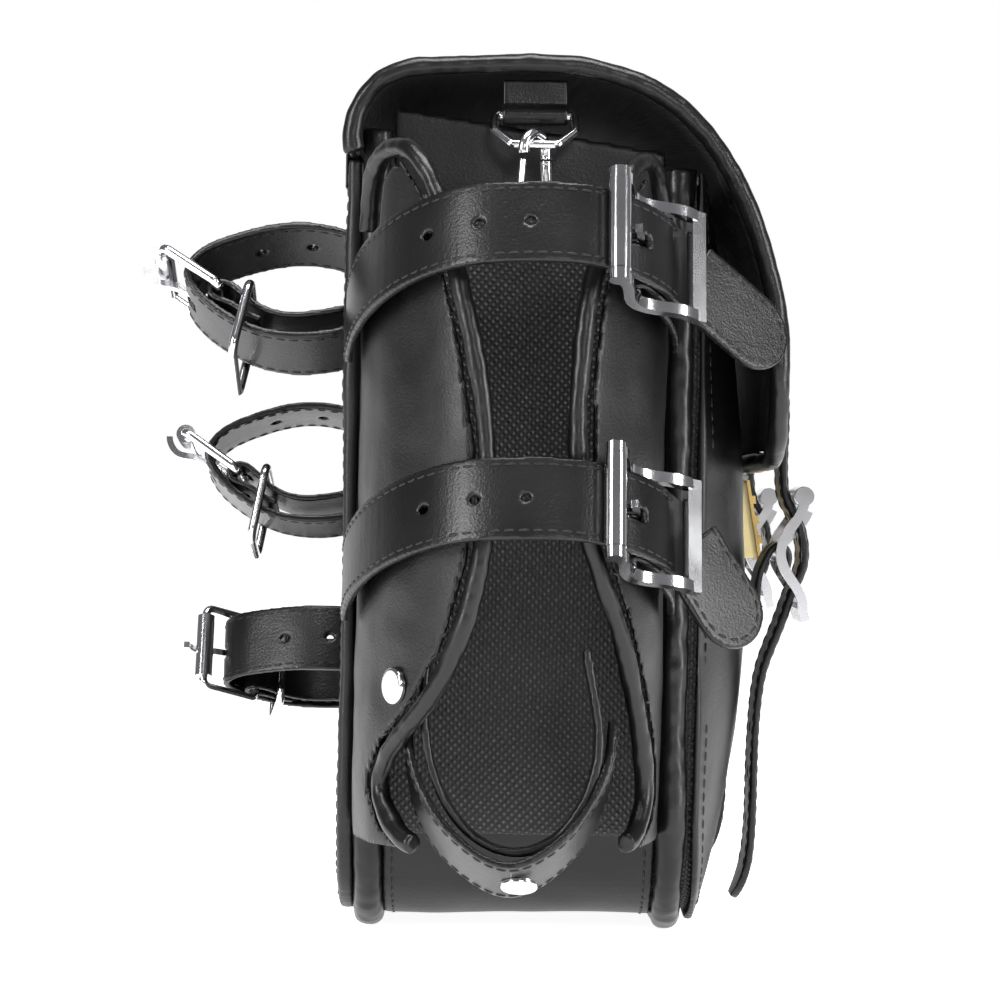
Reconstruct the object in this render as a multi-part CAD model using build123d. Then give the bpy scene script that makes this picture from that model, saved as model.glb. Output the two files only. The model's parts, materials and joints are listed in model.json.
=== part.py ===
from build123d import *
from math import atan2, cos, degrees, radians, sin, sqrt
import os

os.makedirs("parts", exist_ok=True)

# ---------------------------------------------------------------- driving dimensions, mm
# X runs from the mounting side (-X) to the outer front (+X), Y along the bag, Z up.
BAG_L = 290.0  # outer length between the two end walls
GUSSET_HALF = 46.0  # half width of the gusset strip between the two pipings
GUSSET_T = 2.0
GUSSET_Z0 = 5.0  # underside of the gusset floor
GUSSET_TOP_BACK = 280.0
GUSSET_TOP_FRONT = 266.0
CORNER_R = 40.0  # bottom corners, seen from the front
PIPE_R = 5.0
PIPE_X = 51.0
PIPE_TOP_BACK = 272.0
PIPE_TOP_FRONT = 260.0

FRONT_X = 58.4  # front panel's outer face at its rim
FRONT_BULGE = 22.5
FRONT_T = 2.2
FRONT_TOP = 260.0
FULL_Z = 125.0  # height where the front is fullest

BACK_X = -61.0  # mounting face
BACK_T = 4.8
BACK_TOP = 262.0

LID_HALF = 157.0  # half length to the centre of the rim roll
LID_PANEL_T = 1.9
LID_LINING_T = 1.1
LID_RIM_R = 3.5
LID_PROFILE = [
    (-58.5, 263.2), (-58.0, 276.0), (-50.0, 287.5), (-28.0, 292.5), (0.0, 293.5), (28.0, 290.5),
    (48.0, 281.0), (62.0, 266.5), (74.4, 243.0), (81.8, 220.0), (84.3, 204.0), (84.5, 190.0), (84.5, 163.0),
]
LID_CORNER_Z = 204.0  # the rim leaves the side profile here and runs round the flap
LID_LOW = 163.0
LID_CORNER_R = 30.0

HOLDER_X = -4.5  # centre of the bottle holder
HOLDER_A = 51.5  # half width of its half-oval plan
HOLDER_B = 78.0  # how far it stands out
HOLDER_Y = -147.0  # its flat back
HOLDER_T = 2.0
HOLDER_LINING_T = 1.2
HOLDER_Z0 = 36.0
HOLDER_Z1 = 262.0
HOLDER_RIM_R = 3.2

STRAP_W = 27.0
STRAP_T = 2.6
CHAPE_T = 2.2
HOLDER_TILT = 20.0  # the holder straps ride up at the front
HOLDER_STRAPS = {"upper": (217.9, 27.0, 28.0), "lower": (131.7, 24.0, 50.0)}  # height, tail, droop

# centre-bar roller buckle: u points to the roller, n outwards, w across the strap
BAR_R = 1.5
BUCKLE_HALF = 15.5  # inner half width
ARM_W = 3.6
ARM_T = 3.4
ROLLER_U = 20.0
ROLLER_N = 8.0
ROLLER_R = 3.5

RUNNING = 0.05  # radial clearance of rollers and prongs

# wire-frame roller buckle on the mounting loops: p outwards, q up, both in the loop's plane
WIRE_R = 1.7
HEEL_PQ = (44.9, -4.3)
WIRE_ROLLER_PQ = (64.9, 10.0)
WIRE_HALF = 16.8
LOOPS = {"a": (-105.0, 217.0, 27.0), "b": (-5.0, 158.0, 14.0), "c": (95.0, 83.0, -66.0)}

LID_STRAP_Y = {"near": -80.0, "far": 80.0}
LID_BUCKLE_X = 90.5
LID_BUCKLE_Z = 131.0


# ---------------------------------------------------------------- helpers
def save(shape, node):
    export_step(shape, f"parts/{node}.step")


def ribbon(points, thick, shift=0.0, samples=0):
    """Closed face of constant thickness along a smooth 2D curve, moved sideways by shift."""
    curve = Spline(*points)
    count = samples or 5 * len(points)
    left = []
    right = []
    for i in range(count + 1):
        at = curve @ (i / count)
        way = curve % (i / count)
        side = Vector(-way.Y, way.X)
        left.append(at + side * (shift + thick / 2))
        right.append(at + side * (shift - thick / 2))
    edges = [
        Spline(*left),
        Line(left[-1], right[-1]),
        Spline(*reversed(right)),
        Line(right[0], left[0]),
    ]
    return make_face(edges)


def band(points, thick, width, shift=0.0):
    """Ribbon in XY, extruded evenly both ways along Z."""
    return extrude(ribbon(points, thick, shift), amount=width / 2, both=True)


def along_y(shape):
    """Turn a shape drawn in XY so that its Y becomes Z and its extrusion lies along Y."""
    return Rot(90, 0, 0) * shape


def tube(points, radius, closed=False):
    path = Spline(*points, periodic=closed)
    return sweep(Plane(path @ 0, z_dir=path % 0) * Circle(radius), path=path, is_frenet=True)


def rounded_wire(half_a, half_b, corner, radius):
    """Closed wire ring in XY."""
    outline = [(-half_a, -half_b), (half_a, -half_b), (half_a, half_b), (-half_a, half_b)]
    path = FilletPolyline(*outline, radius=corner, close=True)
    return sweep(Plane(path @ 0, z_dir=path % 0) * Circle(radius), path=path, is_frenet=True)


def bar(radius, length):
    return Cylinder(radius, length)


def oval_y(x, shrink=0.0):
    """Y of the holder's wall at a given X."""
    part = (x - HOLDER_X) / (HOLDER_A - shrink)
    return HOLDER_Y - (HOLDER_B - shrink) * sqrt(max(0.0, 1.0 - part * part))


def disc_rivet(radius, height):
    body = Cylinder(radius, height, align=(Align.CENTER, Align.CENTER, Align.MIN))
    return fillet(body.edges().sort_by(Axis.Z)[-1], height * 0.6)


# ---------------------------------------------------------------- bag body
def body_outline(grow, top, z0=GUSSET_Z0):
    """U-shaped outline of the bag in the YZ plane as a face; grow moves it outwards."""
    half = BAG_L / 2 + grow
    low = z0 - grow
    radius = CORNER_R + grow
    points = [(-half, top), (-half, low), (half, low), (half, top)]
    wire = FilletPolyline(*points, radius=radius)
    return Plane.YZ * make_face([wire, Line(wire @ 1, wire @ 0)])


def prism(grow, top, x0, x1, z0=GUSSET_Z0):
    face = body_outline(grow, top, z0)
    return Pos(x0, 0, 0) * extrude(face, amount=x1 - x0)


def fullness(y, z):
    across = 1.0 - abs(y / (BAG_L / 2 + 5)) ** 3.5
    if z < FULL_Z:
        return across * (1.0 - min(1.0, (FULL_Z - z) / FULL_Z) ** 3.0)
    return across * (1.0 - min(1.0, (z - FULL_Z) / 145.0) ** 2.2)


def bulge(inset, back=200.0):
    """Solid behind the front panel's full surface, lowered by inset."""
    rows = []
    for i in range(17):
        y = -150.0 + i * 300.0 / 16
        rows.append(
            [Vector(FRONT_X - inset + FRONT_BULGE * fullness(y, z), y, z) for z in range(0, 271, 15)]
        )
    face = Face.make_surface_from_array_of_points(rows)
    return extrude(face, amount=back, dir=(-1, 0, 0))


outer = prism(0, 300, -GUSSET_HALF, GUSSET_HALF)
inner = prism(-GUSSET_T, 301, -GUSSET_HALF - 1, GUSSET_HALF + 1)
slope = degrees(atan2(GUSSET_TOP_BACK - GUSSET_TOP_FRONT, 2 * GUSSET_HALF))
top_mid = (GUSSET_TOP_BACK + GUSSET_TOP_FRONT) / 2
above = Pos(0, 0, top_mid) * Rot(0, slope, 0) * Pos(0, 0, 50) * Box(200, 400, 100)
gusset = outer - inner - above
save(gusset, "gusset")


def piping(x, top):
    half = BAG_L / 2
    points = [(x, -half, top), (x, -half, GUSSET_Z0), (x, half, GUSSET_Z0), (x, half, top)]
    path = FilletPolyline(*points, radius=CORNER_R)
    return sweep(Plane(path @ 0, z_dir=path % 0) * Circle(PIPE_R), path=path)


save(piping(-PIPE_X, PIPE_TOP_BACK), "piping_back")
save(piping(PIPE_X, PIPE_TOP_FRONT), "piping_front")

rim = prism(1.0, FRONT_TOP, 40, 120)
front_panel = (rim & bulge(0.0)) - bulge(FRONT_T)
save(front_panel, "front_panel")

back_panel = prism(1.0, BACK_TOP, BACK_X, BACK_X + BACK_T, z0=GUSSET_Z0 + 2)
save(back_panel, "back_panel")

back_board = prism(-9.0, 250.0, BACK_X + BACK_T + 0.3, BACK_X + BACK_T + 2.1)
save(back_board, "back_board")

lining_outer = prism(-GUSSET_T - 0.4, 256.0, -53.6, 100)
lining_inner = prism(-GUSSET_T - 1.5, 257.0, -52.4, 101)
lining = (lining_outer & bulge(FRONT_T + 0.5)) - (lining_inner & bulge(FRONT_T + 1.6))
lining -= piping(PIPE_X, 300)
lining -= piping(-PIPE_X, 300)
save(lining, "lining")

# ---------------------------------------------------------------- lid
side_path = Spline(*[(x, 0, z) for x, z in LID_PROFILE[:-2]])
side_roll = sweep(Plane(side_path @ 0, z_dir=side_path % 0) * Circle(LID_RIM_R), path=side_path)


def flap_line(inset, top):
    half = LID_HALF - inset
    low = LID_LOW + inset
    corners = [(-half, top), (-half, low), (half, low), (half, top)]
    return FilletPolyline(*corners, radius=LID_CORNER_R - inset)


front_path = Plane.YZ * flap_line(0.0, LID_CORNER_Z - 0.2)
front_roll = sweep(Plane(front_path @ 0, z_dir=front_path % 0) * Circle(LID_RIM_R), path=front_path)
rolls = [Pos(0, -LID_HALF, 0) * side_roll, Pos(0, LID_HALF, 0) * side_roll, Pos(84.5, 0, 0) * front_roll]
save(Compound(rolls), "lid_piping")

flap_wire = flap_line(LID_RIM_R + 0.05, 330)
flap_face = Plane.YZ * make_face([flap_wire, Line(flap_wire @ 1, flap_wire @ 0)])
flap_prism = Pos(-100, 0, 0) * extrude(flap_face, amount=220)
lid_cover = along_y(band(LID_PROFILE, LID_PANEL_T, 2 * LID_HALF, LID_LINING_T / 2))
lid_inside = along_y(band(LID_PROFILE, LID_LINING_T, 2 * LID_HALF, -LID_PANEL_T / 2))
save(lid_cover & flap_prism, "lid_panel")
save(lid_inside & flap_prism, "lid_lining")

# ---------------------------------------------------------------- bottle holder
LEFT_RIM = [
    (-53.4, 236.0), (-51.8, 252.0), (-46.0, 261.0), (-38.0, 259.0), (-31.0, 248.0), (-24.0, 225.0),
    (-17.0, 195.0), (-12.5, 164.0), (-14.0, 129.0), (-21.5, 101.0), (-32.0, 81.0), (-42.0, 67.0),
    (-45.5, 56.0), (-42.0, 45.0), (-34.0, 38.0),
]
RIGHT_RIM = [
    (43.8, 237.0), (43.0, 251.0), (40.0, 258.0), (33.0, 255.0), (26.5, 240.0), (19.5, 214.0),
    (16.5, 185.0), (17.5, 150.0), (24.5, 124.0), (31.0, 106.0), (36.0, 86.0), (39.5, 67.0),
    (40.5, 54.0), (39.0, 45.0), (34.0, 38.0),
]


def oval_wall(shrink, thick):
    """Half-oval wall, open towards the bag."""
    plan = Ellipse(HOLDER_A - shrink, HOLDER_B - shrink) - Ellipse(HOLDER_A - shrink - thick, HOLDER_B - shrink - thick)
    plan = (Pos(HOLDER_X, HOLDER_Y) * plan) & (Pos(0, HOLDER_Y - 103.5) * Rectangle(200, 200))
    return Pos(0, 0, HOLDER_Z0) * extrude(plan, amount=HOLDER_Z1 - HOLDER_Z0)


def wing(outline):
    """Prism that keeps one wing inside its rim roll."""
    edge = 62.0 if outline[0][0] > 0 else -62.0
    corner = outline[-1]
    points = [(edge, 31.0), (edge, outline[0][1] + 3.2)] + outline + [(corner[0], 31.0)]
    face = make_face(Polyline(*points, close=True))
    face = offset(face, amount=-HOLDER_RIM_R - 1.1)
    return Pos(0, -300, 0) * extrude(Plane.XZ * face, amount=-200)


wings = [wing(LEFT_RIM), wing(RIGHT_RIM)]
for node, shrink, thick in (("holder_panel", 0.0, HOLDER_T), ("holder_lining", HOLDER_T + 0.05, HOLDER_LINING_T)):
    wall = oval_wall(shrink, thick)
    save(Compound([part for keep in wings for part in (wall & keep).solids()]), node)
rims = [tube([(x, oval_y(x, 1.6), z) for x, z in line], HOLDER_RIM_R) for line in (LEFT_RIM, RIGHT_RIM)]
save(Compound(rims), "holder_piping")
save(Pos(0, -147.8, 143) * Box(90.6, 5.0, 214), "holder_back")

# ---------------------------------------------------------------- centre-bar buckle, local (u, w, n)
ARM_PATH = [(-20.0, 8.0), (-12.0, 5.6), (-5.0, 1.2), (0.0, 0.0), (5.0, 1.2), (12.0, 5.6), (20.0, 8.0)]
PRONG_PATH = [(1.9, 1.4), (6.3, 5.8), (10.4, 9.2), (14.6, 11.4)]


def across(shape):
    """Shape drawn in (u, n) with its extrusion turned to lie along w."""
    return Rot(90, 0, 0) * shape


def centre_frame():
    side = BUCKLE_HALF + ARM_W / 2
    arm = across(band(ARM_PATH, ARM_T, ARM_W))
    ear = Pos(ROLLER_U, 0, ROLLER_N) * Rot(90, 0, 0) * Cylinder(3.3, ARM_W)
    frame = Pos(0, side, 0) * (arm + ear) + Pos(0, -side, 0) * (arm + ear)
    frame += Rot(90, 0, 0) * bar(BAR_R, 2 * side)
    frame += Pos(ROLLER_U, 0, ROLLER_N) * Rot(90, 0, 0) * bar(BAR_R, 2 * side)
    heel = Pos(-ROLLER_U - 1.2, 0, ROLLER_N + 0.3) * Rot(0, 18, 0) * Box(5.2, 2 * side + ARM_W, 3.2)
    return frame + heel


def centre_roller():
    shell = Cylinder(ROLLER_R, 2 * BUCKLE_HALF - 0.4) - Cylinder(BAR_R + RUNNING, 40)
    return Pos(ROLLER_U, 0, ROLLER_N) * Rot(90, 0, 0) * shell


def centre_prong():
    ring = Rot(90, 0, 0) * Cylinder(3.3, 3.2)
    tongue = across(band(PRONG_PATH, 2.2, 2.6))
    return ring + tongue - Rot(90, 0, 0) * Cylinder(BAR_R + RUNNING, 10)


PRONG_SLOT = Pos(-0.5, 0, 0) * Box(11, 4.4, 9)


def holder_plane(z0):
    return Pos(0, -187, z0) * Rot(-HOLDER_TILT, 0, 0)


# holder buckle position in the strap's tilted plane (x, s); n points outwards
HB_C = (34.0, -27.9)
HB_U = (-0.618, -0.786)
HB_N = (0.786, -0.618)


def hb(u, n):
    return (HB_C[0] + HB_U[0] * u + HB_N[0] * n, HB_C[1] + HB_U[1] * u + HB_N[1] * n)


def strap_oval(angle, da, db):
    t = radians(angle)
    return (HOLDER_X + (HOLDER_A + da) * cos(t), 42.6 - (HOLDER_B / cos(radians(HOLDER_TILT)) + db) * sin(t))


def holder_frame(z0):
    """Location of the buckle's local (u, w, n) frame."""
    local = Plane(origin=(HB_C[0], HB_C[1], 0), x_dir=(HB_U[0], HB_U[1], 0), z_dir=(HB_N[0], HB_N[1], 0))
    return holder_plane(z0) * local.location


front_path = [strap_oval(a, 3.4, 8.6) for a in (176, 164, 150, 135, 120, 105)]
front_path += [(-4.5, -49.3), (9.0, -49.6), hb(20.5, 2.5), hb(13, 4.5), hb(5, 6.0), hb(-3, 6.1)]
front_path += [hb(-11, 4.9), hb(-19, 3.2), hb(-27, 2.6)]
chape_path = [hb(-13, 1.0), hb(-9, 2.2), hb(-4, 2.8), hb(0.8, 2.65), hb(2.78, 0), hb(0.8, -2.65)]
chape_path += [hb(-4, -2.9), hb(-10, -3.3), hb(-20, -5.0), hb(-30, -8.4), hb(-42, -14.6), (48.6, 24.0)]

for name, (z0, tail_len, droop) in HOLDER_STRAPS.items():
    base = holder_plane(z0)
    frame_at = holder_frame(z0)
    strap = base * band(front_path, STRAP_T, STRAP_W)
    tail = Pos(-tail_len / 2, 0, 0) * Box(tail_len, STRAP_W, STRAP_T)
    tail += Pos(-tail_len, 0, 0) * Cylinder(STRAP_W / 2, STRAP_T)
    tail = frame_at * Pos(-27, 0, 2.6) * Rot(0, 20, 0) * Rot(0, 0, -droop) * tail
    strap += tail
    strap -= frame_at * Pos(7, 0, 6) * Box(9, 4.4, 14)
    for hole in (24.0, 8.0, -8.0):
        drill = base * Pos(hole - 24.0, -47, 0) * Rot(90, 0, 0) * Cylinder(1.6, 30)
        strap -= drill
    chape = base * band(chape_path, CHAPE_T, STRAP_W)
    chape -= frame_at * PRONG_SLOT
    save(strap, f"holder_strap_{name}")
    save(chape, f"holder_chape_{name}")
    save(frame_at * centre_frame(), f"buckle_frame_{name}")
    save(frame_at * centre_roller(), f"buckle_roller_{name}")
    save(frame_at * centre_prong(), f"buckle_prong_{name}")

# ---------------------------------------------------------------- lid straps, local (u up, n outwards)
LID_STRAP = [(92.0, -1.4), (70.0, -0.4), (52.0, 1.2), (36.0, 1.0), (26.0, 1.1), (19.0, 2.3), (12.0, 6.0)]
LID_STRAP += [(3.0, 8.6), (-6.0, 8.0), (-13.0, 5.0), (-20.0, 2.6), (-29.0, -0.6), (-40.0, -4.6), (-56.0, -7.0)]
LID_STRAP += [(-76.0, -7.8), (-96.0, -8.2), (-110.0, -9.6), (-122.0, -14.0)]
LID_CHAPE = [(-9.0, 2.0), (-4.5, 2.8), (0.6, 2.68), (2.78, 0.2), (1.6, -2.3), (-2.0, -4.6), (-7.0, -6.6)]
LID_CHAPE += [(-13.0, -7.4), (-22.0, -7.9)]

for name, y in LID_STRAP_Y.items():
    at = Plane(origin=(LID_BUCKLE_X, y, LID_BUCKLE_Z), x_dir=(0, 0, 1), z_dir=(1, 0, 0)).location
    strap = across(band(LID_STRAP, STRAP_T, STRAP_W))
    keep = Pos(16, 0, 0) * Box(252, 60, 60) + Pos(-110, 0, 0) * Cylinder(STRAP_W / 2, 60)
    strap &= keep
    strap -= Pos(9.5, 0, 7) * Box(10, 4.4, 14)
    for hole in (-62.0, -78.0, -94.0):
        strap -= Pos(hole, 0, -8) * Cylinder(1.6, 20)
    chape = across(band(LID_CHAPE, CHAPE_T, STRAP_W)) - PRONG_SLOT
    save(at * strap, f"lid_strap_{name}")
    save(at * chape, f"lid_chape_{name}")
    save(at * centre_frame(), f"buckle_frame_lid_{name}")
    save(at * centre_roller(), f"buckle_roller_lid_{name}")
    save(at * centre_prong(), f"buckle_prong_lid_{name}")

# ---------------------------------------------------------------- mounting loops, local (p out, q up)
LOOP_STRAP = [(0.6, 18.6), (20.5, 21.8), (40.8, 16.6), (54.1, 8.0), (56.1, 2.8), (54.1, -2.7)]
LOOP_STRAP += [(43.9, -13.0), (33.2, -19.1), (20.4, -21.8), (0.6, -19.2)]
LOOP_CHAPE = [(0.6, -10.8), (12.0, -13.2), (24.0, -13.4), (34.0, -8.5), (40.5, -2.6), (44.0, -1.15)]
LOOP_CHAPE += [(47.3, -2.4), (48.1, -5.2), (46.0, -7.5), (42.0, -9.0), (36.0, -12.9), (30.0, -15.6)]
WIRE_PRONG = [(46.8, -3.5), (52.0, -0.6), (58.0, 2.6), (63.6, 4.4), (68.4, 5.4), (71.2, 8.6), (72.0, 12.0)]
KEEPER_TOP = (34.2, -2.6)
KEEPER_LOW = (39.0, -30.0)


def loop_location(y, z, tilt):
    t = radians(tilt)
    return Plane(origin=(BACK_X, y, z), x_dir=(-1, 0, 0), z_dir=(0, cos(t), -sin(t))).location


def wire_ring(first, second, half_w, corner, radius):
    """Rounded wire ring spanning two points of the loop plane and half_w each way."""
    mid = ((first[0] + second[0]) / 2, (first[1] + second[1]) / 2, 0)
    run = Vector(second[0] - first[0], second[1] - first[1], 0)
    ring = rounded_wire(run.length / 2, half_w, corner, radius)
    lie = Plane(origin=mid, x_dir=run, z_dir=Vector(run.Y, -run.X, 0))
    return lie.location * ring


keepers = []
for name, (y, z, tilt) in LOOPS.items():
    at = loop_location(y, z, tilt)
    wall = Pos(BACK_X + 50, 0, 0) * Box(100, 600, 700)
    strap = band(LOOP_STRAP, STRAP_T, STRAP_W) - Pos(56, 1.2, 0) * Box(14, 12, 4.4)
    for p in (14.0, 32.0):
        strap -= Pos(p, 20, 0) * Rot(90, 0, 0) * Cylinder(1.6, 14)
    chape = band(LOOP_CHAPE, CHAPE_T, STRAP_W)
    chape -= Pos(HEEL_PQ[0] + 2, HEEL_PQ[1], 0) * Box(13, 12, 4.6)
    frame = wire_ring(HEEL_PQ, WIRE_ROLLER_PQ, WIRE_HALF, 3.0, WIRE_R)
    roller = Cylinder(ROLLER_R, 26) - Cylinder(WIRE_R + RUNNING, 30)
    roller = Pos(*WIRE_ROLLER_PQ, 0) * roller
    prong = Pos(*HEEL_PQ, 0) * Cylinder(3.3, 3.2) + band(WIRE_PRONG, 2.3, 2.6)
    prong -= Pos(*HEEL_PQ, 0) * Cylinder(WIRE_R + RUNNING, 10)
    save(at * strap - wall, f"mount_strap_{name}")
    save(at * chape - wall, f"mount_chape_{name}")
    save(at * frame, f"wire_buckle_{name}")
    save(at * roller, f"wire_roller_{name}")
    save(at * prong, f"wire_prong_{name}")
    keepers.append(at * wire_ring(KEEPER_TOP, KEEPER_LOW, WIRE_HALF, 4.5, 1.6))
save(Compound(keepers), "keeper_rings")

# ---------------------------------------------------------------- slings, rivets, badge, snap hook
SLING_OUT = [(-36.0, 0.0), (-35.5, 12.0), (-31.0, 26.0), (-18.0, 43.0), (-3.5, 50.0), (11.0, 43.0)]
SLING_OUT += [(24.0, 26.0), (28.5, 12.0), (29.0, 0.0)]
SLING_IN = [(-30.0, 0.0), (-31.5, 14.0), (-30.5, 30.0), (-24.0, 50.0), (-11.0, 63.0), (-2.0, 65.5), (8.0, 63.0)]
SLING_IN += [(20.0, 50.0), (25.0, 30.0), (23.0, 14.0), (20.5, 0.0)]


def sling(points, origin, forward, width):
    t = radians(forward)
    lie = Plane(origin=origin, x_dir=(1, 0, 0), z_dir=(0, cos(t), -sin(t)))
    return lie.location * band(points, STRAP_T, width)


sling_outer = sling(SLING_OUT, (0, -184, 72), 25.0, 30.0)
sling_inner = sling(SLING_IN, (0, -192, 100), 4.0, 22.0)
save(sling_outer, "holder_sling_outer")
save(sling_inner, "holder_sling_inner")

rivet_x = -40.5
rivet_y = oval_y(rivet_x)
rivet_n = Vector((rivet_x - HOLDER_X) / HOLDER_A**2, (rivet_y - HOLDER_Y) / HOLDER_B**2, 0)
side_rivet = Plane(origin=(rivet_x, rivet_y, 88), z_dir=rivet_n).location * Pos(0, 0, 0.25) * disc_rivet(6, 1.8)
low = radians(25.0)
sling_at = Vector(0, -184 - 51.4 * sin(low), 72 - 51.4 * cos(low))
sling_rivet = Plane(origin=sling_at, z_dir=(0, -sin(low), -cos(low))).location * disc_rivet(6, 1.8)
save(Compound([side_rivet, sling_rivet]), "holder_rivets")

badge_wedge = make_face(Polyline((81.4, 128), (88.0, 128), (83.2, 156), (81.4, 156), close=True))
save(extrude(Plane.XZ * badge_wedge, amount=24, both=True), "badge_base")
lean = degrees(atan2(4.8, 28.0))
plate_at = Pos(86.3, 0, 142) * Rot(0, -lean, 0)
badge_plate = plate_at * Box(1.2, 50, 30)
for i in (-1, 0, 1):
    badge_plate += plate_at * Pos(1.3, 0, 7.5 * i) * Box(1.6, 40, 3)
save(badge_plate, "badge_plate")

TAB_X = 1.5
TAB_W = 21.6
ring_r = 1.5
tab = Pos(TAB_X, -150, 283.4) * Box(TAB_W, 2.0, 11)
tab += Pos(TAB_X, -150, 277.0) * Rot(0, 90, 0) * Cylinder(3.4, TAB_W)
tab -= Pos(TAB_X, -150, 277.0) * Rot(0, 90, 0) * Cylinder(ring_r + 0.06, 40)
save(tab, "d_ring_tab")

D_TILT = 50.0
d_outline = [(-13.4, 0), (13.4, 0), (13.4, -9), (7.5, -17), (-7.5, -17), (-13.4, -9)]
d_path = FilletPolyline(*d_outline, radius=1.8, close=True)
d_solid = sweep(Plane(d_path @ 0, z_dir=d_path % 0) * Circle(ring_r), path=d_path)
d_at = Pos(TAB_X, -150, 277.0) * Rot(90 - D_TILT, 0, 0)
save(d_at * d_solid, "d_ring")

hook_top = (TAB_X, -150 - 17 * sin(radians(D_TILT)), 277.0 - 17 * cos(radians(D_TILT)) + 3.8)
hook_at = Pos(*hook_top) * Rot(0, 0, 50)
HOOK = [(-5.6, 0, -6.8), (-4.6, 0, -2.6), (0, 0, 0), (4.6, 0, -2.6), (6.0, 0, -10), (8.0, 0, -30), (6.6, 0, -37)]
HOOK += [(0, 0, -41), (-6.6, 0, -38.4), (-8.4, 0, -35.6)]
hook = tube(HOOK, 1.9)
pivot = (-8.4, 0, -32.2)
for side in (-1, 1):
    hook += Pos(-8.4, side * 1.75, -33.6) * Box(4.0, 0.8, 6.0)
hook += Pos(-8.4, 0, -36.0) * Box(4.0, 4.3, 1.6)
hook += Pos(*pivot) * Rot(90, 0, 0) * Cylinder(0.7, 4.2)
gate = Pos(*pivot) * Rot(90, 0, 0) * Cylinder(1.7, 2.4)
gate += tube([(-8.4, 0, -31.4), (-7.6, 0, -24), (-6.0, 0, -9.4)], 1.15)
gate -= Pos(*pivot) * Rot(90, 0, 0) * Cylinder(0.75, 10)
save(hook_at * hook, "snap_hook")
save(hook_at * gate, "snap_hook_gate")
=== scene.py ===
import json
import math

import bmesh
import bpy
import numpy as np
from mathutils import Matrix, Vector, noise
from mathutils.bvhtree import BVHTree


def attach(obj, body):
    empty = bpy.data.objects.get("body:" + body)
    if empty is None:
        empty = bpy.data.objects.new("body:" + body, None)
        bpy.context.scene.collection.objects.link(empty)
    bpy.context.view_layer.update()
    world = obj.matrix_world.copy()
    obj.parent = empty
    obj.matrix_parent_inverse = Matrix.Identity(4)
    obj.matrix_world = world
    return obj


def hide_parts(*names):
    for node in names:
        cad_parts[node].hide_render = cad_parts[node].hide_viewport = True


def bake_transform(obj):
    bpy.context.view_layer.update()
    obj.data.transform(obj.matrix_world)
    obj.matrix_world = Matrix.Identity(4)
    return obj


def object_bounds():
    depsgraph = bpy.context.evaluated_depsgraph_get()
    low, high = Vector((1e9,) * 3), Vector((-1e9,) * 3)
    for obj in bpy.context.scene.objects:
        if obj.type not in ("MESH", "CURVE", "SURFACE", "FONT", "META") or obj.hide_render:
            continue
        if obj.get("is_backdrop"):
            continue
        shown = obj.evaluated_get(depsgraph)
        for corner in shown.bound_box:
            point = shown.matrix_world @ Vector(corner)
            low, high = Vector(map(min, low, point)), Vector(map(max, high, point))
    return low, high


MM = 0.001
LONGEST_EDGE = 5.0  # millimetres, for linings that are divided and not remeshed
SEED_STEP = 3.1  # keeps the waves of one piece apart
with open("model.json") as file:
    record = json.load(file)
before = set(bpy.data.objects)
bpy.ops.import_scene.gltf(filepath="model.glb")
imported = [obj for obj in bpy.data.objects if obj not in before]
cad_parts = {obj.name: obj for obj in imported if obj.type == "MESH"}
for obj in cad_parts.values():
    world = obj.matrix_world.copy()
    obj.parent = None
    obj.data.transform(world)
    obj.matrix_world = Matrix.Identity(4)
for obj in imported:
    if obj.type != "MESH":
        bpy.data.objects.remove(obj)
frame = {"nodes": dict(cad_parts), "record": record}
low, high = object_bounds()
before = [list(low), list(high)]


# ---------------------------------------------------------------- materials
def tree(name):
    mat = bpy.data.materials.new(name)
    mat.use_nodes = True
    nodes = mat.node_tree.nodes
    return mat, nodes, mat.node_tree.links, nodes["Principled BSDF"]


def coords(nodes, links, scale):
    coord = nodes.new("ShaderNodeTexCoord")
    mapping = nodes.new("ShaderNodeMapping")
    mapping.inputs["Scale"].default_value = scale
    links.new(coord.outputs["Object"], mapping.inputs["Vector"])
    return mapping.outputs["Vector"]


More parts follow.
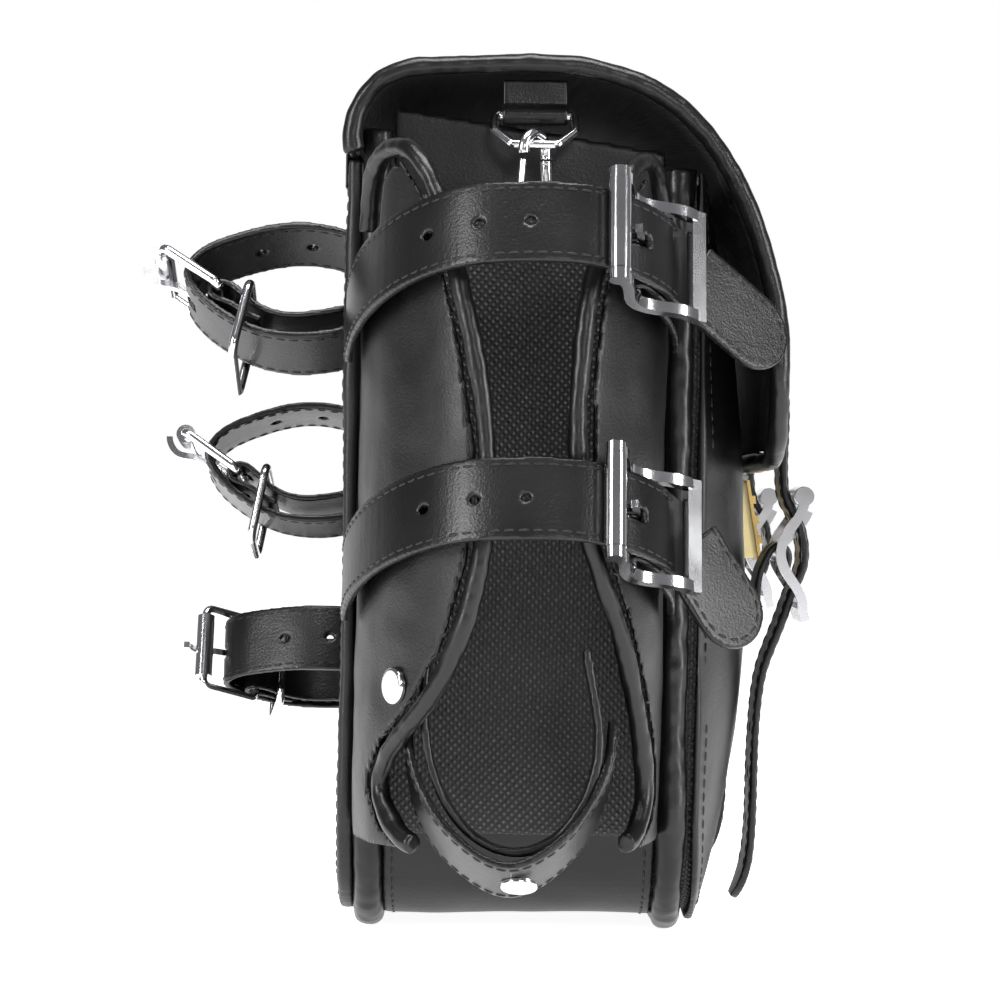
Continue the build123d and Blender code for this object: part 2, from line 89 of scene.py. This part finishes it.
def leather(name, base, rough, grain=1.0, wear=0.5):
    """Black coated leather: fine pebble grain, slow unevenness and slightly lighter wear."""
    mat, nodes, links, bsdf = tree(name)
    vec = coords(nodes, links, (1, 1, 1))
    cells = nodes.new("ShaderNodeTexVoronoi")
    cells.inputs["Scale"].default_value = 1500
    cells.feature = "SMOOTH_F1"
    pores = nodes.new("ShaderNodeTexNoise")
    pores.inputs["Scale"].default_value = 900
    pores.inputs["Detail"].default_value = 5
    slow = nodes.new("ShaderNodeTexNoise")
    slow.inputs["Scale"].default_value = 28
    slow.inputs["Detail"].default_value = 4
    for tex in (cells, pores, slow):
        links.new(vec, tex.inputs["Vector"])
    fine = nodes.new("ShaderNodeBump")
    fine.inputs["Strength"].default_value = 0.24 * grain
    fine.inputs["Distance"].default_value = 0.00025
    rough_bump = nodes.new("ShaderNodeBump")
    rough_bump.inputs["Strength"].default_value = 0.16 * grain
    rough_bump.inputs["Distance"].default_value = 0.0004
    wave = nodes.new("ShaderNodeBump")
    wave.inputs["Strength"].default_value = 0.22
    wave.inputs["Distance"].default_value = 0.0025
    links.new(cells.outputs["Distance"], fine.inputs["Height"])
    links.new(pores.outputs["Fac"], rough_bump.inputs["Height"])
    links.new(slow.outputs["Fac"], wave.inputs["Height"])
    links.new(wave.outputs["Normal"], rough_bump.inputs["Normal"])
    links.new(rough_bump.outputs["Normal"], fine.inputs["Normal"])
    links.new(fine.outputs["Normal"], bsdf.inputs["Normal"])
    tone = nodes.new("ShaderNodeValToRGB")
    tone.color_ramp.elements[0].position = 0.35
    tone.color_ramp.elements[0].color = (*[c * 0.8 for c in base], 1)
    tone.color_ramp.elements[1].position = 0.75
    tone.color_ramp.elements[1].color = (*[c * (1 + wear) for c in base], 1)
    links.new(slow.outputs["Fac"], tone.inputs["Fac"])
    links.new(tone.outputs["Color"], bsdf.inputs["Base Color"])
    sheen = nodes.new("ShaderNodeMapRange")
    sheen.inputs["To Min"].default_value = rough - 0.05
    sheen.inputs["To Max"].default_value = rough + 0.09
    links.new(slow.outputs["Fac"], sheen.inputs["Value"])
    links.new(sheen.outputs["Result"], bsdf.inputs["Roughness"])
    bsdf.inputs["Specular IOR Level"].default_value = 0.36
    return mat


def woven(name, base, glint):
    """Coarse woven nylon: crossed threads, with painted glints lightening the base colour at a few
    raised thread crossings.
    """
    mat, nodes, links, bsdf = tree(name)
    vec = coords(nodes, links, (1, 1, 1))
    waves = []
    for turn in ((0.0, 0.70, 0.45), (0.0, -0.80, -0.60)):
        turned = nodes.new("ShaderNodeMapping")
        turned.inputs["Rotation"].default_value = turn
        links.new(vec, turned.inputs["Vector"])
        tex = nodes.new("ShaderNodeTexWave")
        tex.bands_direction = "X"
        tex.inputs["Scale"].default_value = 190
        tex.inputs["Distortion"].default_value = 0.6
        links.new(turned.outputs["Vector"], tex.inputs["Vector"])
        waves.append(tex)
    cross = nodes.new("ShaderNodeMath")
    cross.operation = "MULTIPLY"
    links.new(waves[0].outputs["Fac"], cross.inputs[0])
    links.new(waves[1].outputs["Fac"], cross.inputs[1])
    bump = nodes.new("ShaderNodeBump")
    bump.inputs["Strength"].default_value = 0.8
    bump.inputs["Distance"].default_value = 0.0006
    links.new(cross.outputs["Value"], bump.inputs["Height"])
    links.new(bump.outputs["Normal"], bsdf.inputs["Normal"])
    noise = nodes.new("ShaderNodeTexNoise")
    noise.inputs["Scale"].default_value = 600
    links.new(vec, noise.inputs["Vector"])
    painted_glint_mask = nodes.new("ShaderNodeMath")
    painted_glint_mask.operation = "MULTIPLY"
    links.new(noise.outputs["Fac"], painted_glint_mask.inputs[0])
    links.new(cross.outputs["Value"], painted_glint_mask.inputs[1])
    # painted glints: the base colour turns light grey where noise meets the raised thread crossings
    tone = nodes.new("ShaderNodeValToRGB")
    tone.color_ramp.elements[0].position = 0.15
    tone.color_ramp.elements[0].color = (*base, 1)
    tone.color_ramp.elements[1].position = 0.62
    tone.color_ramp.elements[1].color = (*[glint] * 3, 1)
    links.new(painted_glint_mask.outputs["Value"], tone.inputs["Fac"])
    links.new(tone.outputs["Color"], bsdf.inputs["Base Color"])
    bsdf.inputs["Roughness"].default_value = 0.62
    return mat


def metal(name, base, rough, scratch=0.08):
    mat, nodes, links, bsdf = tree(name)
    vec = coords(nodes, links, (1, 1, 1))
    noise = nodes.new("ShaderNodeTexNoise")
    noise.inputs["Scale"].default_value = 70
    noise.inputs["Detail"].default_value = 3
    links.new(vec, noise.inputs["Vector"])
    bump = nodes.new("ShaderNodeBump")
    bump.inputs["Strength"].default_value = scratch
    bump.inputs["Distance"].default_value = 0.0004
    links.new(noise.outputs["Fac"], bump.inputs["Height"])
    links.new(bump.outputs["Normal"], bsdf.inputs["Normal"])
    spread = nodes.new("ShaderNodeMapRange")
    spread.inputs["To Min"].default_value = rough * 0.7
    spread.inputs["To Max"].default_value = rough * 1.5
    links.new(noise.outputs["Fac"], spread.inputs["Value"])
    links.new(spread.outputs["Result"], bsdf.inputs["Roughness"])
    bsdf.inputs["Base Color"].default_value = (*base, 1)
    bsdf.inputs["Metallic"].default_value = 1.0
    return mat


BODY = leather("body leather", (0.0030, 0.0030, 0.0033), 0.38, 1.0, 0.5)
ROLL = leather("piping leather", (0.0025, 0.0025, 0.0028), 0.31, 0.7, 0.4)
STRAP = leather("strap leather", (0.0030, 0.0030, 0.0033), 0.30, 1.0, 0.6)
THREAD = leather("thread", (0.0015, 0.0015, 0.0015), 0.46, 0.3, 0.4)
NYLON = woven("lining nylon", (0.0040, 0.0040, 0.0040), 0.09)
CHROME = metal("chrome", (0.74, 0.74, 0.76), 0.13, 0.03)
GILT = metal("gilt plate", (0.86, 0.60, 0.22), 0.24, 0.05)
PALE = leather("pale gilt base", (0.72, 0.60, 0.30), 0.35, 0.3, 0.1)
BOARD = leather("stiffener", (0.03, 0.03, 0.03), 0.7, 0.4, 0.2)

SLOT_MATERIAL = {
    "body_leather": BODY, "piping": ROLL, "strap_leather": STRAP, "lining": NYLON,
    "board": BOARD, "chrome": CHROME, "badge_gold": GILT, "badge_base": PALE,
}
NODE_SLOT = {s["node"]: s["material_slot"] for s in frame["record"]["subparts"]}
NODE_BODY = {n: b for b, ns in frame["record"]["behaviour"]["bodies"].items() for n in ns}


# ---------------------------------------------------------------- soft pieces
def noise_shift(obj, size, strength, seed):
    """Moves every vertex along its normal by smooth noise."""
    mesh = obj.data
    count = len(mesh.vertices)
    co = np.empty(count * 3)
    mesh.vertices.foreach_get("co", co)
    no = np.empty(count * 3)
    mesh.vertices.foreach_get("normal", no)
    co = co.reshape(-1, 3)
    no = no.reshape(-1, 3)
    scale = 1 / size
    shift = np.array([noise.noise(Vector(p * scale) + Vector((seed, 0, 0))) for p in co])
    co += no * (shift * strength)[:, None]
    mesh.vertices.foreach_set("co", co.ravel())
    mesh.update()


def refine(mesh, limit):
    """Splits every edge longer than the limit, so thin cloth can wave and keep its thickness."""
    bm = bmesh.new()
    bm.from_mesh(mesh)
    bmesh.ops.remove_doubles(bm, verts=bm.verts, dist=1e-6)
    for _ in range(8):
        bmesh.ops.triangulate(bm, faces=bm.faces)
        long_edges = [e for e in bm.edges if e.calc_length() > limit]
        if not long_edges:
            break
        bmesh.ops.subdivide_edges(bm, edges=long_edges, cuts=1)
    bmesh.ops.triangulate(bm, faces=bm.faces)
    bm.to_mesh(mesh)
    bm.free()
    mesh.validate()


def soft(node, voxel, smooth, waves):
    """A leather or cloth piece grown from a CAD node: edges rounded, surface gently uneven.

    A voxel of 0 keeps the node's own thin mesh and only divides it.
    """
    src = frame["nodes"][node]
    obj = src.copy()
    obj.data = src.data.copy()
    obj.parent = None
    obj.name = node + "_soft"
    bpy.context.scene.collection.objects.link(obj)
    obj.matrix_world = src.matrix_world.copy()
    obj.data.transform(obj.matrix_world)
    obj.matrix_world = Matrix.Identity(4)
    if voxel:
        remesh = obj.modifiers.new("remesh", "REMESH")
        remesh.mode = "VOXEL"
        remesh.voxel_size = voxel * MM * 1.0
        soften = obj.modifiers.new("smooth", "SMOOTH")
        soften.iterations = smooth
        soften.factor = 0.5
        graph = bpy.context.evaluated_depsgraph_get()
        mesh = bpy.data.meshes.new_from_object(obj.evaluated_get(graph))
        obj.modifiers.clear()
        obj.data = mesh
    else:
        refine(obj.data, LONGEST_EDGE * MM)
    for i, (size, strength) in enumerate(waves):
        noise_shift(obj, size * MM, strength * MM, SEED_STEP * i)
    obj.data.materials.clear()
    obj.data.materials.append(SLOT_MATERIAL[NODE_SLOT[node]])
    obj.data.polygons.foreach_set("use_smooth", [True] * len(obj.data.polygons))
    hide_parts(node)
    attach(obj, NODE_BODY[node])
    return obj


# node: voxel, smoothing passes and waves of (size, height), all in millimetres
SOFT = {
    "gusset": (1.2, 2, [(60, 1.0), (14, 0.25)]),
    "front_panel": (1.2, 3, [(70, 1.6), (18, 0.35)]),
    "back_panel": (1.2, 4, [(80, 1.0), (16, 0.5)]),
    "lining": (0, 0, [(40, 0.35)]),
    "piping_back": (1.0, 3, [(26, 0.8), (5, 0.35)]),
    "piping_front": (1.0, 3, [(26, 0.8), (5, 0.35)]),
    "lid_panel": (1.2, 2, [(90, 1.4), (16, 0.25)]),
    "lid_lining": (0, 0, [(30, 0.4)]),
    "lid_piping": (0.9, 2, [(30, 0.7), (5, 0.3)]),
    "holder_panel": (1.0, 2, [(45, 1.2), (12, 0.3)]),
    "holder_lining": (0, 0, [(40, 0.4)]),
    "holder_piping": (0.8, 2, [(24, 0.7), (5, 0.35)]),
    "holder_back": (1.4, 3, [(30, 0.7)]),
    "holder_sling_outer": (0.8, 2, [(25, 0.5)]),
    "holder_sling_inner": (0.8, 2, [(25, 0.5)]),
    "d_ring_tab": (0.6, 2, [(10, 0.2)]),
}
for name in NODE_BODY:
    if "_strap_" in name or "_chape_" in name:
        SOFT[name] = (0.7, 1, [(28, 0.35)])
pieces = {name: soft(name, *spec) for name, spec in SOFT.items()}
for name, obj in frame["nodes"].items():
    obj.data.materials.clear()
    obj.data.materials.append(SLOT_MATERIAL[NODE_SLOT[name]])


# ---------------------------------------------------------------- stitching
def smooth_line(points, step=1.0):
    """Catmull-Rom line through points given in millimetres."""
    pts = [Vector(p) for p in points]
    ends = [pts[0] * 2 - pts[1]] + pts + [pts[-1] * 2 - pts[-2]]
    line = []
    for i in range(1, len(ends) - 2):
        a, b, c, d = ends[i - 1], ends[i], ends[i + 1], ends[i + 2]
        count = max(2, int((c - b).length / step))
        for k in range(count):
            t = k / count
            square = (2 * a - 5 * b + 4 * c - d) * t * t
            cube = (3 * b - a - 3 * c + d) * t**3
            line.append(0.5 * ((2 * b) + (c - a) * t + square + cube))
    line.append(pts[-1])
    return line


def resample(line, pitch):
    out = []
    want = pitch / 2
    run = 0.0
    for p, q in zip(line, line[1:]):
        span = (q - p).length
        while span > 0 and run + span >= want:
            t = (want - run) / span
            out.append((p.lerp(q, t), (q - p).normalized()))
            want += pitch
        run += span
    return out


def capsule(half, radius):
    """Unit stitch: a thin rounded bead along X."""
    verts = []
    faces = []
    rings = 7
    around = 8
    for i in range(rings):
        a = math.pi * (i / (rings - 1)) - math.pi / 2
        x = half * math.sin(a)
        r = radius * max(0.12, math.cos(a)) ** 0.6
        for j in range(around):
            b = 2 * math.pi * j / around
            verts.append((x, r * math.cos(b), r * math.sin(b)))
    for i in range(rings - 1):
        for j in range(around):
            k = (j + 1) % around
            faces.append((i * around + j, i * around + k, (i + 1) * around + k, (i + 1) * around + j))
    faces.append(tuple(range(around))[::-1])
    faces.append(tuple((rings - 1) * around + j for j in range(around)))
    return np.array(verts), faces


def stitch(name, lines, piece, body, pitch=4.6, length=3.3, radius=0.55):
    """Rows of thread laid on a piece's surface along lines given in millimetres."""
    base, faces = capsule(length / 2, radius)
    corners = [v.co for v in piece.data.vertices]
    skin = BVHTree.FromPolygons(corners, [p.vertices for p in piece.data.polygons])
    verts = []
    polys = []
    for line in lines:
        for at, way in resample(smooth_line(line), pitch):
            spot, normal, _, _ = skin.find_nearest(at * MM)
            if spot is None:
                continue
            x = (way - normal * way.dot(normal)).normalized()
            y = normal.cross(x)
            turn = np.array([x, y, normal]).T
            start = len(verts) * len(base)
            verts.append((base @ turn.T + np.array(normal) * -0.12) * MM + np.array(spot))
            polys += [tuple(start + v for v in f) for f in faces]
    if not verts:
        return None
    mesh = bpy.data.meshes.new(name)
    mesh.from_pydata(np.concatenate(verts).tolist(), [], polys)
    mesh.materials.append(THREAD)
    obj = bpy.data.objects.new(name, mesh)
    bpy.context.scene.collection.objects.link(obj)
    mesh.polygons.foreach_set("use_smooth", [True] * len(polys))
    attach(obj, body)
    return obj


# the same driving sizes as the CAD, in millimetres
TILT = math.radians(20)
HB_C, HB_U, HB_N = (34.0, -27.9), (-0.618, -0.786), (0.786, -0.618)


def hb(u, n):
    return (HB_C[0] + HB_U[0] * u + HB_N[0] * n, HB_C[1] + HB_U[1] * u + HB_N[1] * n)


def strap_oval(angle, da, db):
    t = math.radians(angle)
    return (-4.5 + (51.5 + da) * math.cos(t), 42.6 - (78.0 / math.cos(TILT) + db) * math.sin(t))


def holder_world(x, s, w, z0):
    y = -187 + s * math.cos(TILT) + w * math.sin(TILT)
    return (x, y, z0 - s * math.sin(TILT) + w * math.cos(TILT))


front = [strap_oval(a, 5.4, 10.6) for a in (176, 164, 150, 135, 120, 105)]
front += [(-4.5, -51.3), (9.0, -51.8), hb(22, 4.4)]
behind_bar = [hb(12, 7.0), hb(5, 8.0), hb(-3, 8.1), hb(-11, 6.9), hb(-17, 5.4)]
for name, z0 in (("upper", 217.9), ("lower", 131.7)):
    lines = []
    for w in (-11.0, 11.0):
        lines.append([holder_world(x, s, w, z0) for x, s in front])
        lines.append([holder_world(x, s, w, z0) for x, s in behind_bar])
    stitch(f"holder_strap_{name}_thread", lines, pieces[f"holder_strap_{name}"], "bag")


def tail_lines(z0, length, droop):
    """Thread round the rounded end of a holder strap's tail."""
    at = holder_world(*hb(-27, 2.6), 0, z0)
    u = Vector((HB_U[0], HB_U[1] * math.cos(TILT), -HB_U[1] * math.sin(TILT)))
    n = Vector((HB_N[0], HB_N[1] * math.cos(TILT), -HB_N[1] * math.sin(TILT)))
    w = n.cross(u)
    basis = Matrix((u, w, n)).transposed()
    turn = basis @ Matrix.Rotation(math.radians(20), 3, "Y")
    turn = turn @ Matrix.Rotation(math.radians(-droop), 3, "Z")
    ring = [(4 - k * 4.0, 11.0) for k in range(int((length + 4) / 4))]
    ring += [(-length - 11.0 * math.sin(a), 11.0 * math.cos(a)) for a in np.linspace(0, math.pi, 9)]
    ring += [(-length + k * 4.0, -11.0) for k in range(1, int((length + 4) / 4))]
    return [tuple(Vector(at) + turn @ Vector((x, y, 1.9))) for x, y in ring]


for name, z0, length, droop in (("upper", 217.9, 27.0, 28.0), ("lower", 131.7, 24.0, 50.0)):
    line = tail_lines(z0, length, droop)
    stitch(f"holder_tail_{name}_thread", [line], pieces[f"holder_strap_{name}"], "bag")

LOOP = [(0.6, 18.6), (20.5, 21.8), (40.8, 16.6), (54.1, 8.0), (56.1, 2.8), (54.1, -2.7)]
LOOP += [(43.9, -13.0), (33.2, -19.1), (20.4, -21.8), (0.6, -19.2)]
for name, y, z, tilt in (("a", -105.0, 217.0, 27.0), ("b", -5.0, 158.0, 14.0), ("c", 95.0, 83.0, -66.0)):
    t = math.radians(tilt)
    q_way = Vector((0, math.sin(t), math.cos(t)))
    w_way = Vector((0, math.cos(t), -math.sin(t)))
    lines = []
    middle = Vector((28, 0))
    for grow in (1.09, 0.90):
        for w in (-11.2, 11.2):
            line = []
            for p, q in LOOP:
                out = (Vector((p, q)) - middle) * grow + middle
                line.append(tuple(Vector((-61 - max(out.x, 0.8), y, z)) + q_way * out.y + w_way * w))
            lines.append(line)
    stitch(f"mount_strap_{name}_thread", lines, pieces[f"mount_strap_{name}"], "bag", radius=0.45)

LID_STRAP = [(92.0, -1.4), (70.0, -0.4), (52.0, 1.2), (36.0, 1.0), (26.0, 1.1), (19.0, 2.3)]
LID_STRAP += [(12.0, 6.0), (3.0, 8.6), (-6.0, 8.0), (-13.0, 5.0), (-20.0, 2.6), (-29.0, -0.6)]
LID_STRAP += [(-40.0, -4.6), (-56.0, -7.0), (-76.0, -7.8), (-96.0, -8.2), (-112.0, -9.6)]
for name, y in (("near", -80.0), ("far", 80.0)):
    lines = []
    for off in (2.0, -2.0):
        for w in (-11.0, 11.0):
            lines.append([(90.5 + n + off, y + w, 131 + u) for u, n in LID_STRAP])
    stitch(f"lid_strap_{name}_thread", lines, pieces[f"lid_strap_{name}"], "lid", radius=0.42)


def u_line(x, half, low_z, top, radius, lift=2.0):
    """U-shaped line round an end, the floor and the other end."""
    half += lift
    low_z -= lift
    radius += lift
    line = [(x, -half, top - k * (top - low_z - radius) / 8) for k in range(9)]
    line += [
        (x, -half + radius * (1 - math.cos(a)), low_z + radius * (1 - math.sin(a)))
        for a in np.linspace(0, math.pi / 2, 7)[1:]
    ]
    return line + [(px, -py, pz) for px, py, pz in reversed(line)]


stitch(
    "gusset_thread",
    [u_line(-42.6, 145, 5, 270, 40), u_line(42.6, 145, 5, 256, 40)],
    pieces["gusset"], "bag", radius=0.5,
)
front_edge = [(62.0, y, z) for _, y, z in u_line(0, 145, 5, 258, 40, lift=-5.5)]
stitch("front_panel_thread", [front_edge], pieces["front_panel"], "bag")
back_edge = [(-63.0, y, z) for _, y, z in u_line(0, 145, 7, 258, 40, lift=-5.0)]
stitch("back_panel_thread", [back_edge], pieces["back_panel"], "bag")

SIDE = [(-58.0, 276.0), (-50.0, 287.5), (-28.0, 292.5), (0.0, 293.5), (28.0, 290.5)]
SIDE += [(48.0, 281.0), (62.0, 266.5), (74.4, 243.0), (81.8, 220.0), (84.4, 204.0)]
lid_line = []
for sign in (-1, 1):
    outer = [(x * 1.02, sign * 149.5, z + 2.5) for x, z in SIDE]
    lid_line.append(outer)
low_edge = [(88.0, -149.5, 200.0), (88.0, -149.5, 190.0)]
for a in np.linspace(0.1, math.pi / 2, 6):
    low_edge.append((88.0, -149.5 + 22 * (1 - math.cos(a)), 192.0 - 22 * math.sin(a)))
low_edge += [(88.0, -100.0, 170.0), (88.0, 0.0, 170.0)]
low_edge += [(x, -y, z) for x, y, z in reversed(low_edge[:-1])]
lid_line.append(low_edge)
stitch("lid_thread", lid_line, pieces["lid_panel"], "lid")

LEFT_RIM = [
    (-46.0, 255.0), (-38.5, 253.0), (-36.5, 246.0), (-30.0, 223.0), (-23.0, 194.0), (-18.6, 164.0),
    (-20.2, 128.0), (-27.5, 98.0), (-38.0, 77.0), (-46.5, 64.0),
]
RIGHT_RIM = [
    (39.5, 252.0), (37.0, 250.0), (32.0, 239.0), (25.5, 213.0), (22.6, 185.0), (23.6, 150.0),
    (30.3, 126.0), (36.6, 108.0), (41.5, 88.0), (44.0, 70.0),
]


def on_oval(x, z, lift=1.5):
    a = 51.5 + lift
    part = min(1.0, abs((x + 4.5) / a))
    return (x, -147 - (78 + lift) * math.sqrt(1 - part * part), z)


wing_lines = [[on_oval(x, z) for x, z in rim] for rim in (LEFT_RIM, RIGHT_RIM)]
stitch("holder_thread", wing_lines, pieces["holder_panel"], "bag")

SLING = [(-36.0, 0.0), (-35.5, 12.0), (-31.0, 26.0), (-18.0, 43.0), (-3.5, 50.0), (11.0, 43.0)]
SLING += [(24.0, 26.0), (28.5, 12.0), (29.0, 0.0)]
t = math.radians(25)
sling_lines = []
for w in (-12.4, 12.4):
    line = []
    for x, d in SLING:
        out = Vector((x + 3.5, d - 10)) * 1.07
        place = Vector((out.x - 3.5, -184, 72)) + Vector((0, -math.sin(t), -math.cos(t))) * (out.y + 10)
        line.append(tuple(place + Vector((0, math.cos(t), -math.sin(t))) * w))
    sling_lines.append(line)
stitch("sling_thread", sling_lines, pieces["holder_sling_outer"], "bag")


# ---------------------------------------------------------------- leather over the lid's hinge line
def hinge_strip(half, low_z, high_z, x, thick):
    """The back panel's leather running on into the lid: a thin flat strip across the hinge line."""
    rows = 14
    cols = 60
    verts = []
    for side in (0.0, thick):
        for i in range(rows + 1):
            z = low_z + (high_z - low_z) * i / rows
            for j in range(cols + 1):
                y = -half + 2 * half * j / cols
                verts.append(((x - side) * MM, y * MM, z * MM))
    width = cols + 1
    layer = width * (rows + 1)
    faces = []
    for i in range(rows):
        for j in range(cols):
            k = i * width + j
            faces.append((k, k + 1, k + width + 1, k + width))
            faces.append((layer + k, layer + k + width, layer + k + width + 1, layer + k + 1))
    rim = [j for j in range(cols)] + [i * width + cols for i in range(rows)]
    rim += [rows * width + j for j in range(cols, 0, -1)] + [i * width for i in range(rows, 0, -1)]
    for k, m in zip(rim, rim[1:] + rim[:1]):
        faces.append((k, layer + k, layer + m, m))
    mesh = bpy.data.meshes.new("hinge_leather")
    mesh.from_pydata(verts, [], faces)
    mesh.materials.append(BODY)
    obj = bpy.data.objects.new("hinge_leather", mesh)
    bpy.context.scene.collection.objects.link(obj)
    mesh.polygons.foreach_set("use_smooth", [True] * len(mesh.polygons))
    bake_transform(obj)
    return obj


hinge_strip(139.0, 253.0, 271.0, -61.2, 0.9)


# ---------------------------------------------------------------- stage, light, camera
def plane(name, size, at, turn=(0, 0, 0)):
    bpy.ops.mesh.primitive_plane_add(size=size, location=at, rotation=turn)
    obj = bpy.context.object
    obj.name = name
    return obj


white, nodes, links, bsdf = tree("pale floor")
bsdf.inputs["Base Color"].default_value = (0.9, 0.9, 0.9, 1)
bsdf.inputs["Roughness"].default_value = 0.9
bsdf.inputs["Specular IOR Level"].default_value = 0.1
bsdf.inputs["Emission Color"].default_value = (1, 1, 1, 1)
bsdf.inputs["Emission Strength"].default_value = 0.92
floor = plane("floor", 16.0, (0, 0, before[0][2] - 0.0002))
floor.data.materials.append(white)
floor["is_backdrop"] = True

world = bpy.data.worlds.new("studio")
bpy.context.scene.world = world
world.use_nodes = True
sky = world.node_tree.nodes["Background"]
sky.inputs["Strength"].default_value = 1.0
direction = world.node_tree.nodes.new("ShaderNodeTexCoord")
split = world.node_tree.nodes.new("ShaderNodeSeparateXYZ")
fade = world.node_tree.nodes.new("ShaderNodeValToRGB")
fade.color_ramp.elements[0].position = 0.55
fade.color_ramp.elements[0].color = (0.16, 0.16, 0.165, 1)
fade.color_ramp.elements[1].position = 0.93
fade.color_ramp.elements[1].color = (1, 1, 1, 1)
world.node_tree.links.new(direction.outputs["Generated"], split.inputs["Vector"])
world.node_tree.links.new(split.outputs["Y"], fade.inputs["Fac"])
world.node_tree.links.new(fade.outputs["Color"], sky.inputs["Color"])


def area(name, at, aim, size, power):
    data = bpy.data.lights.new(name, "AREA")
    data.shape = "RECTANGLE"
    data.size, data.size_y = size
    data.energy = power
    obj = bpy.data.objects.new(name, data)
    obj.location = at
    obj.rotation_euler = (Vector(aim) - Vector(at)).to_track_quat("-Z", "Y").to_euler()
    bpy.context.scene.collection.objects.link(obj)


area("key left", (-1.2, -1.1, 0.7), (0, -0.1, 0.15), (0.45, 1.0), 24)
area("fill right", (1.35, -0.8, 0.5), (0, -0.1, 0.15), (0.4, 1.0), 20)
area("top", (0.05, -0.5, 1.5), (0, -0.1, 0.2), (1.0, 0.5), 24)
area("front", (0.5, -2.2, 0.9), (0, -0.1, 0.15), (0.5, 0.4), 9)

data = bpy.data.cameras.new("camera")
data.sensor_width = 36.0
data.lens = 126.2
camera = bpy.data.objects.new("camera", data)
camera.matrix_world = (
    Matrix.Translation((-0.0081, -1.325, 0.148))
    @ Matrix.Rotation(math.radians(90), 4, "X")
    @ Matrix.Rotation(math.radians(0.95), 4, "Z")
)
bpy.context.scene.collection.objects.link(camera)
bpy.context.scene.camera = camera
scene = bpy.context.scene
scene.view_settings.view_transform = "Standard"

low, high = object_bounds()
